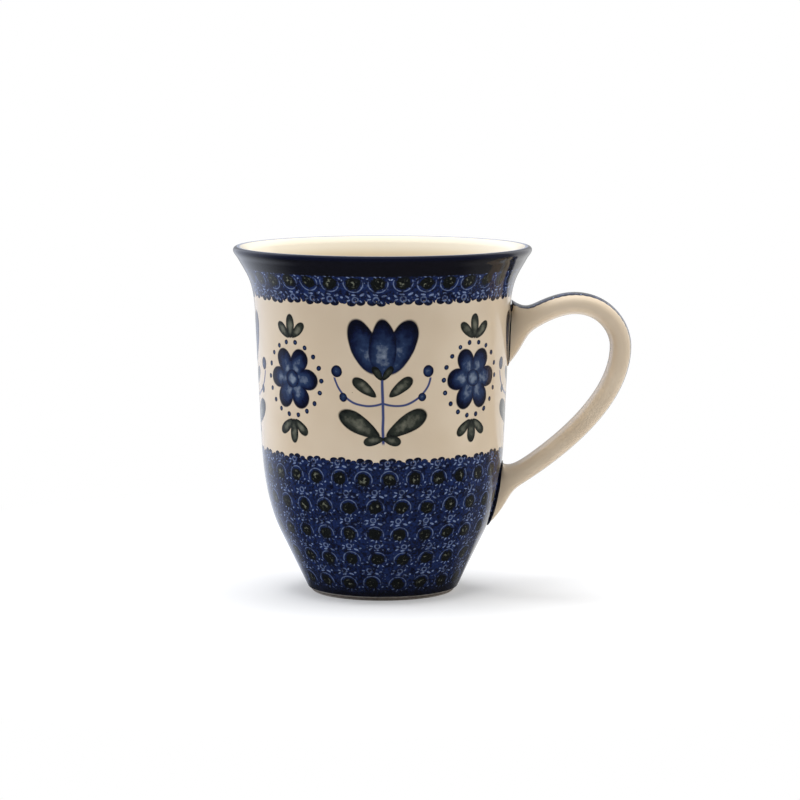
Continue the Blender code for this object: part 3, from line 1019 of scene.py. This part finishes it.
def rosette(canvas, x, y, streaks):
    """A six-petalled rosette in a ring of dots, with a spray of leaves above and below."""
    side, spray_y = abs(x), abs(y)
    leaves = [mark(side, spray_y, *leaf) for leaf in SPRAY_LEAVES]
    brushed(canvas, LEAF_WASH, leaves, streaks)
    dot = mark(*folded(x, y, ROSETTE_DOTS), *ROSETTE_DOT)
    brushed(canvas, PETAL_WASH, [dot], streaks, darkness=0.35)
    petal = mark(*folded(x, y, ROSETTE_PETALS), *ROSETTE_PETAL)
    brushed(canvas, PETAL_WASH, [petal], streaks, darkness=0.28, pull=0.38)
    brushed(canvas, PETAL_WASH, [mark(x, y, *ROSETTE_HEART)], streaks, darkness=0.10)


MOTIF_PAIRS, MOTIF_SIZE = 4, 1.16
WOBBLE, WOBBLE_GRAIN, STREAK_GRAIN = 0.9, 110.0, 520.0


def paint_frieze(canvas, turn, up, radius):
    """Both motifs, each repeated round the mug."""
    values = {"Vector": canvas.place, "Scale": WOBBLE_GRAIN, "Detail": 1.0}
    drift = add(canvas.tree, "ShaderNodeTexNoise", values)
    drift_x, drift_y, _ = parts_of(drift.outputs["Color"])
    streaks = canvas.noise(STREAK_GRAIN, detail=3.0)
    y = (up - FRIEZE_MIDDLE) / MOTIF_SIZE + (drift_y - 0.5) * WOBBLE
    width = radius * (math.tau / MOTIF_PAIRS / MOTIF_SIZE)
    for motif, shift in ((rosette, 0.0), (tulip_sprig, 0.5)):
        share = (turn * MOTIF_PAIRS + (shift - FRONT_TURN * MOTIF_PAIRS)).apply("FRACT") - 0.5
        motif(canvas, share * width + (drift_x - 0.5) * WOBBLE, y, streaks)


print(f"{MOTIF_PAIRS} pairs of motifs, {math.tau * FRIEZE_RADIUS / MOTIF_PAIRS:.1f} mm a pair")

# %% [markdown]
# ## The pot's finish
# Under the gloss lie a warm pale clay body with a few iron specks, the frieze, the stamped rows, and a
# near-black band under a navy lip where the glaze breaks pale over the edge, with a painted highlight
# along that pale edge. The base darkens towards the foot with painted shade. Inside, a paler cream is
# painted as light under the lip, and painted shade deepens it to cream further down. One clear glaze
# covers all of it but the foot, which is wiped clean so that it does not stick to the kiln shelf. The glaze
# is a glossy dielectric: its roughness is low and slightly uneven, and a faint bump gives it the slow
# ripple of melted glass.

# %% Cream ground and clear glaze
SPECK_BROWN = srgb(92, 72, 52)
CLOUD_GRAIN, CLOUD_TONES = 38.0, (0.3, 0.7)
SPECK_GRAIN, SPECK_EDGE, SPECK_CHANCE, SPECK_STRENGTH = 210.0, (0.045, 0.02), 0.86, 0.7
GLAZE_ROUGHNESS, GLAZE_UNEVEN, UNEVEN_GRAIN = 0.07, 0.05, 60.0
RIPPLE_GRAIN, RIPPLE_DEPTH = 140.0, 0.000015
CLAY_ROUGHNESS, CLAY_GRAIN, CLAY_RELIEF = 0.75, 2600.0, 3.0


def cream_ground(canvas):
    """The pale glazed body with its slow change of tone and its iron specks."""
    cloud = canvas.noise(CLOUD_GRAIN)
    canvas.colour = canvas.wash(ramp(cloud, *CLOUD_TONES), CREAM, PALE_CREAM)
    cells = add(canvas.tree, "ShaderNodeTexVoronoi", {"Vector": canvas.place, "Scale": SPECK_GRAIN})
    chance, _, _ = parts_of(cells.outputs["Color"])
    speck = ramp(Field(cells.outputs["Distance"]), *SPECK_EDGE) * (chance > SPECK_CHANCE)
    canvas.coat(SPECK_BROWN, speck * SPECK_STRENGTH)


def glaze(canvas, bare=None):
    """Give a canvas its glossy coat; a bare mask keeps the clay matt."""
    tree, shader = canvas.tree, canvas.shader
    connect(canvas.colour, shader.inputs["Base Color"])
    roughness = canvas.noise(UNEVEN_GRAIN) * GLAZE_UNEVEN + GLAZE_ROUGHNESS
    ripple = canvas.noise(RIPPLE_GRAIN, detail=1.0)
    if bare is not None:
        roughness = blended(roughness, CLAY_ROUGHNESS, bare)
        ripple = blended(ripple, canvas.noise(CLAY_GRAIN, detail=3.0) * CLAY_RELIEF, bare)
    connect(roughness, shader.inputs["Roughness"])
    bump = add(tree, "ShaderNodeBump", {"Height": ripple, "Distance": RIPPLE_DEPTH, "Strength": 1.0})
    connect(bump.outputs[0], shader.inputs["Normal"])


print(f"roughness of the glaze from {GLAZE_ROUGHNESS:.2f}, of the bare clay {CLAY_ROUGHNESS:.2f}")

# %% Paint the pot
LIP_NAVY = srgb(12, 16, 36)
# Pale glaze break over the lip, which is also a painted highlight
LIP_BREAK_AND_HIGHLIGHT = srgb(150, 160, 186)
CLAY = srgb(196, 188, 178)
CLAY_SHADE = srgb(176, 166, 154)
SCORCH = srgb(98, 78, 60)
# Where a coat begins and where it is full, in millimetres up the wall, or past the edge it belongs to
# Painted shade near the foot: where it begins and where it is full, and how dark
FOOT_PAINTED_SHADE, FOOT_PAINTED_SHADE_STRENGTH = (6.0, 0.5), 0.8
BAND_BEGINS, NAVY_BEGINS, INSIDE_BEGINS = (-0.25, 0.25), (-0.3, 0.5), (0.3, 0.8)
INSIDE_SHADE_DEEPENS = (4.5, 9.5)
BREAK_HIGHLIGHT_MIDDLE, BREAK_HIGHLIGHT_EDGE, BREAK_HIGHLIGHT_STRENGTH = 0.1, (0.8, 0.3), 0.85
BARE_BEGINS, BARE_GRAIN = (0.15, 0.0), 900.0
SCORCH_DROP, SCORCH_EDGE, SCORCH_STRENGTH = 1.1, (0.35, 0.15), 0.8


def paint_pot():
    """All coats of the pot, from the ground up."""
    canvas = Canvas(pot_glaze)
    turn, run = canvas.map("decor")
    up = run * MM
    place_x, place_y, _ = parts_of(canvas.place)
    radius = length_of(place_x, place_y) * MM
    cream_ground(canvas)
    paint_frieze(canvas, turn, up, radius)
    x, y, row = dab_places(turn, up, radius)
    dab(canvas, x, y, largest(fringe(x, y), row > 0.5), row < 0.5)
    # Painted shade: the outside darkens over its lowest 6 mm, towards the foot
    canvas.coat(BLACK_BLUE, ramp(up, *FOOT_PAINTED_SHADE) * FOOT_PAINTED_SHADE_STRENGTH)
    canvas.coat(BLACK_BLUE, ramp(up - BAND_EDGE, *BAND_BEGINS))
    canvas.coat(LIP_NAVY, ramp(up - LIP_CREASE, *NAVY_BEGINS))
    past_lip = up - LIP_EDGE
    # The pale line over the lip's edge is the glaze breaking thin, and also a painted highlight
    canvas.coat(LIP_BREAK_AND_HIGHLIGHT, ramp(abs(past_lip - BREAK_HIGHLIGHT_MIDDLE), *BREAK_HIGHLIGHT_EDGE) * BREAK_HIGHLIGHT_STRENGTH)
    # Painted light and shade inside: palest under the lip, deepening to cream further down
    inside = canvas.wash(ramp(past_lip, *INSIDE_SHADE_DEEPENS), INSIDE_LIT_CREAM, INSIDE_SHADED_CREAM)
    canvas.coat(inside, ramp(past_lip, *INSIDE_BEGINS))
    bare = ramp(up, *BARE_BEGINS)
    clay_tone = ramp(canvas.noise(BARE_GRAIN, detail=3.0), *CLOUD_TONES)
    canvas.coat(canvas.wash(clay_tone, CLAY_SHADE, CLAY), bare)
    canvas.coat(SCORCH, ramp(abs(up + SCORCH_DROP), *SCORCH_EDGE) * SCORCH_STRENGTH)
    glaze(canvas, bare)
    return len(canvas.tree.nodes)


print("pot finish:", paint_pot(), "nodes")

# %% [markdown]
# ## The handle's finish
# The handle has the same pale glaze, which pools darker near its upper root, where painted shade also
# darkens the crook, and a stamped strip down its back. The strip is bordered by a dark line and scalloped
# like the fringe on the pot. It reads the map "decor", which holds the distance along the strap and the
# place round its section, because the strip follows the bend.

# %% Paint the handle
# Pooled glaze and painted shade near the upper root
POOLED_AND_SHADED_CREAM = srgb(182, 161, 131)
POOL_AND_SHADE_REACH, POOL_AND_SHADE_STRENGTH = (20.0, 8.0), 0.35
STRIP_HALF_WIDTH, STRIP_SOFT = 4.8, 0.15
STRIP_STOP, STOP_SOFT = 14.0, 0.3
STRIP_DAB, STRIP_DAB_SHIFT = 8.3, 1.2
STRIP_SCALLOP, SCALLOP_DEPTH = 2.1, 0.12
BACK_EDGE, BORDER_EDGE = (0.05, 0.2), (0.40, 0.22)


def paint_handle():
    """Cream glaze with a stamped strip down the back."""
    canvas = Canvas(handle_glaze)
    run, around = canvas.map("decor")
    _, across, _ = parts_of(canvas.place)
    along, across = run * MM, across * MM
    cream_ground(canvas)
    # Pooled glaze and painted shade darken the strap near its upper root
    canvas.coat(POOLED_AND_SHADED_CREAM, ramp(along, *POOL_AND_SHADE_REACH) * POOL_AND_SHADE_STRENGTH)
    to_go = STRAP_RUN * MM - STRIP_STOP - along
    back = ramp((around * math.tau).apply("SINE"), *BACK_EDGE) * ramp(to_go, -STOP_SOFT, STOP_SOFT)
    scallop = (along * (math.tau / STRIP_SCALLOP)).apply("SINE") * SCALLOP_DEPTH
    beyond = abs(across) + scallop - STRIP_HALF_WIDTH
    x = ((along / STRIP_DAB).apply("FRACT") - 0.5) * STRIP_DAB
    dab(canvas, x, across + STRIP_DAB_SHIFT, ramp(beyond, STRIP_SOFT, -STRIP_SOFT) * back)
    canvas.coat(NAVY, ramp(abs(beyond), *BORDER_EDGE) * back)
    glaze(canvas)
    return len(canvas.tree.nodes)


print("handle finish:", paint_handle(), "nodes")

# %% [markdown]
# ## The joint line's finish
# The ring of slip is cream where it runs out on the pale wall, and a line of cobalt is drawn on its
# crest, close to the strap. The lower ring lies among the stamped rows and is cobalt all over. The place
# round the ring's own thickness comes from its map "decor".

# %% Paint the joints
COBALT_GRAIN, COBALT_TONES = 500.0, (0.35, 0.7)
CREST_BEGINS, CREST_ENDS = (0.0, 0.03), (0.68, 0.62)
FRIEZE_FOOT = 0.0500


def paint_joints():
    """Cream slip with a dark line on its crest, under the clear glaze."""
    canvas = Canvas(joint_line)
    _, around = canvas.map("decor")
    cream_ground(canvas)
    pigment = canvas.wash(ramp(canvas.noise(COBALT_GRAIN), *COBALT_TONES), BLACK_BLUE, NAVY)
    _, _, height = parts_of(canvas.place)
    crest = ramp(around, *CREST_BEGINS) * ramp(around, *CREST_ENDS)
    canvas.coat(pigment, largest(crest, height < FRIEZE_FOOT))
    glaze(canvas)
    return len(canvas.tree.nodes)


print("joint finish:", paint_joints(), "nodes")

# %% [markdown]
# ## Floor, light and camera
# A pale floor fades into a white surround, as in a light tent that is open towards the camera: the glaze
# then mirrors white along its left and right edges and stays dark in the middle. The glaze sees the tent
# by one rule, wherever a mirrored ray lands, on the floor or above it. One broad lamp overhead and the
# bright sides of the tent model the form: what faces the camera is darker than what faces up or
# sideways. The floor near the mug is an ordinary pale surface, so it keeps the mug's soft shadow; further
# away it is plain white. That white is only there to be seen and mirrored, so the renderer is told not to
# count the floor among the lamps, which leaves less grain.

# %% What the glaze mirrors
TENT_FRONT, TENT_SIDE, TENT_BACK, TENT_MIDDLE, TENT_TOP = 0.06, 0.20, 1.0, 0.45, 0.35
# How far a direction points behind or sideways where each change in the tent begins and ends
LEFT_RISE, RIGHT_RISE, RIGHT_BACK = (-0.25, 0.85), (-0.35, 0.0), (0.38, 0.62)
MIDDLE_WIDTH, MIDDLE_BACK = (0.40, 0.15), (0.5, 0.8)
COOL_SIDE, COOL_TINT = (0.3, -0.6), (-0.07, -0.01, 0.13)


def tent(side, behind):
    """What the glaze mirrors: dark towards the camera, white behind, dimmer straight behind."""
    left = blended(TENT_FRONT, TENT_BACK, ramp(behind, *LEFT_RISE))
    right = blended(TENT_FRONT, TENT_SIDE, ramp(behind, *RIGHT_RISE))
    right = blended(right, TENT_BACK, ramp(behind, *RIGHT_BACK))
    middle = ramp(abs(side), *MIDDLE_WIDTH) * ramp(behind, *MIDDLE_BACK)
    return blended(blended(left, right, side > 0.0), TENT_MIDDLE, middle)


def tent_tint(side):
    """White light that is a little cooler from the left."""
    left = ramp(side, *COOL_SIDE)
    return vector(*[left * change + 1.0 for change in COOL_TINT])


print("the tent is", round(TENT_BACK / TENT_FRONT), "times as bright behind the mug as in front")

# %% Lay the floor
FLOOR_SIZE = 6.0
FLOOR_PALE, FLOOR_ROUGHNESS, FLOOR_GLOSS = (0.92, 0.92, 0.92, 1.0), 0.8, 0.1
SHADOW_REACH, SHADOW_LIGHTENED = (0.09, 0.24), 0.3


def make_floor():
    """A plain pale floor under the mug."""
    shell = bmesh.new()
    bmesh.ops.create_grid(shell, x_segments=1, y_segments=1, size=FLOOR_SIZE / 2)
    mesh = bpy.data.meshes.new("floor")
    shell.to_mesh(mesh)
    shell.free()
    floor = new_object("floor", mesh)
    material = bpy.data.materials.new("pale_floor")
    canvas = Canvas(material)
    plain = {"Base Color": FLOOR_PALE, "Roughness": FLOOR_ROUGHNESS, "Specular IOR Level": FLOOR_GLOSS}
    for name, value in plain.items():
        connect(value, canvas.shader.inputs[name])
    x, y, _ = parts_of(canvas.place)
    reach = length_of(x, y)
    far = ramp(reach, *SHADOW_REACH)
    rays = canvas.tree.nodes.new("ShaderNodeLightPath")
    seen, mirrored = Field(rays.outputs["Is Camera Ray"]), Field(rays.outputs["Is Glossy Ray"])
    tent_floor = tent(x / reach, y / reach)
    white = add(canvas.tree, "ShaderNodeEmission", {"Strength": blended(1.0, tent_floor, mirrored)})
    connect(tent_tint((x / reach) * mirrored + (1.0 - mirrored)), white.inputs["Color"])
    mix = canvas.tree.nodes.new("ShaderNodeMixShader")
    cover = largest(blended(SHADOW_LIGHTENED, 1.0, far) * seen, mirrored)
    for value, slot in zip((cover, canvas.shader.outputs[0], white.outputs[0]), mix.inputs):
        connect(value, slot)
    output = canvas.tree.nodes["Material Output"]
    canvas.tree.links.new(mix.outputs[0], output.inputs["Surface"])
    material.cycles.emission_sampling = "NONE"
    mesh.materials.append(material)


make_floor()
print("floor of", FLOOR_SIZE, "m across")

# %% Put up the surround
FILL_FRONT, FILL_SIDE, FILL_BACK = 0.05, 1.50, 0.50
FILL_RISE, SIDE_WIDTH, SIDE_RISE = (-0.5, 0.5), (0.45, 0.85), (-0.5, -0.1)
TOP_RISE = (0.70, 0.85)


def make_surround():
    """White to the camera, soft fill on the mug, and a tent for the glaze to mirror."""
    world = bpy.data.worlds.new("light_tent")
    bpy.context.scene.world = world
    world.use_nodes = True
    tree = world.node_tree
    rays = tree.nodes.new("ShaderNodeLightPath")
    direction = tree.nodes.new("ShaderNodeTexCoord").outputs["Generated"]
    side, behind, above = parts_of(direction)
    mirrored = blended(tent(side, behind), TENT_TOP, ramp(above, *TOP_RISE))
    fill = blended(FILL_FRONT, FILL_BACK, ramp(behind, *FILL_RISE))
    fill = blended(fill, FILL_SIDE, ramp(abs(side), *SIDE_WIDTH) * ramp(behind, *SIDE_RISE))
    strength = blended(fill, mirrored, Field(rays.outputs["Is Glossy Ray"]))
    seen = Field(rays.outputs["Is Camera Ray"])
    connect(blended(strength, 1.0, seen), tree.nodes["Background"].inputs["Strength"])
    connect(tent_tint(blended(side, 1.0, seen)), tree.nodes["Background"].inputs["Color"])


make_surround()
print("fill from the sides is", FILL_SIDE, "and from the front", FILL_FRONT)

# %% Lamp and camera
LAMP_PLACE, LAMP_SIZE, LAMP_WATTS = (-0.03, 0.03, 1.10), 1.00, 18.5


def hang_lamp():
    """A square soft lamp overhead, aimed at the middle of the mug."""
    data = bpy.data.lights.new("overhead_lamp", "AREA")
    data.shape = "SQUARE"
    data.size = LAMP_SIZE
    data.energy = LAMP_WATTS
    lamp = new_object("overhead_lamp", data)
    lamp.location = LAMP_PLACE
    aim = Vector((0.0, 0.0, HEIGHT / 2)) - Vector(LAMP_PLACE)
    lamp.rotation_mode = "QUATERNION"
    lamp.rotation_quaternion = aim.to_track_quat("-Z", "Y")
    lamp.visible_glossy = False


hang_lamp()

CAMERA_PLACE = (0.0, -1.116, 0.2003)
CAMERA_PITCH, CAMERA_YAW = math.radians(6.85), math.radians(0.31)
CAMERA_LENS = 145.6

camera = new_object("camera", bpy.data.cameras.new("camera"))
camera.location = CAMERA_PLACE
camera.rotation_euler = (math.pi / 2 - CAMERA_PITCH, 0.0, -CAMERA_YAW)
camera.data.lens = CAMERA_LENS
bpy.context.scene.camera = camera
bpy.context.scene.view_settings.view_transform = "Standard"
print(f"lamp of {LAMP_WATTS} W, camera at {CAMERA_PLACE} with a lens of {CAMERA_LENS} mm")

# %% [markdown]
# ## Joining the frame
# Each finished piece takes the place of a piece of the plain model and rides on the same body. The drawn
# curves were only guides, so they go.

# %% Hand over
for guide in (outline, path):
    bpy.data.objects.remove(guide, do_unlink=True)

STANDS_FOR = {
    pot: ("mug_body", "pot_glaze"),
    strap: ("handle", "handle_glaze"),
    joints[0]: ("upper_slip_joint", "joint_line"),
    joints[1]: ("lower_slip_joint", "joint_line"),
}
for piece, (node, slot) in STANDS_FOR.items():
    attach(piece, "root")
    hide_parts(node)
